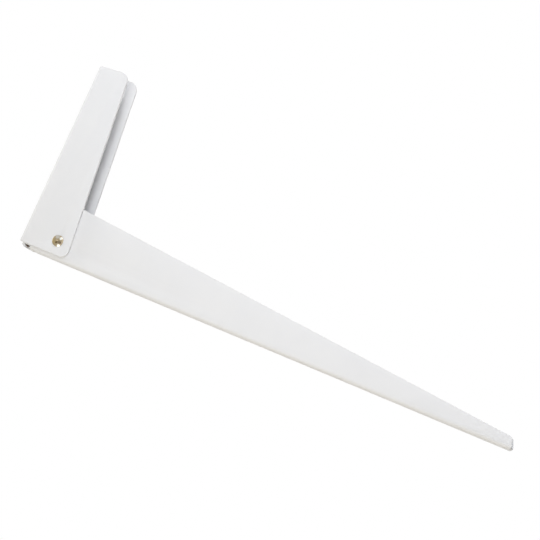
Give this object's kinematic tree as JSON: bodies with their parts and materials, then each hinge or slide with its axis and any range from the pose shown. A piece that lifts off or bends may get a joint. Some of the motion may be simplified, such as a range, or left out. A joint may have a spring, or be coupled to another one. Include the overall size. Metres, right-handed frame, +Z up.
{
  "type": "drop leaf table bracket",
  "caption": "Folding shelf and table bracket: a tapered steel arm pivots on a short tapered wall channel and drops flat against the wall.",
  "frame": {"origin": "on the wall plane, midway between the two wall screw holes", "axes": "+X out from the wall along the raised arm, +Y across the bracket, +Z up"},
  "size_m": [0.4025, 0.0268, 0.154],
  "materials": {
    "painted_steel": "white powder coat, satin",
    "rivet_steel": "yellow zinc plate",
    "sleeve_steel": "clear zinc plate"
  },
  "bodies": {
    "wall_side": {"wall_channel": "painted_steel", "pivot_rivet": "rivet_steel", "spacer_sleeve": "sleeve_steel"},
    "arm": {"support_arm": "painted_steel"}
  },
  "joints": [
    {"name": "arm_fold", "type": "hinge", "parent": "wall_side", "child": "arm", "pos_m": [0.0314, 0, 0.0859], "axis": [0, 1, 0], "range_deg": [0, 90]}
  ]
}
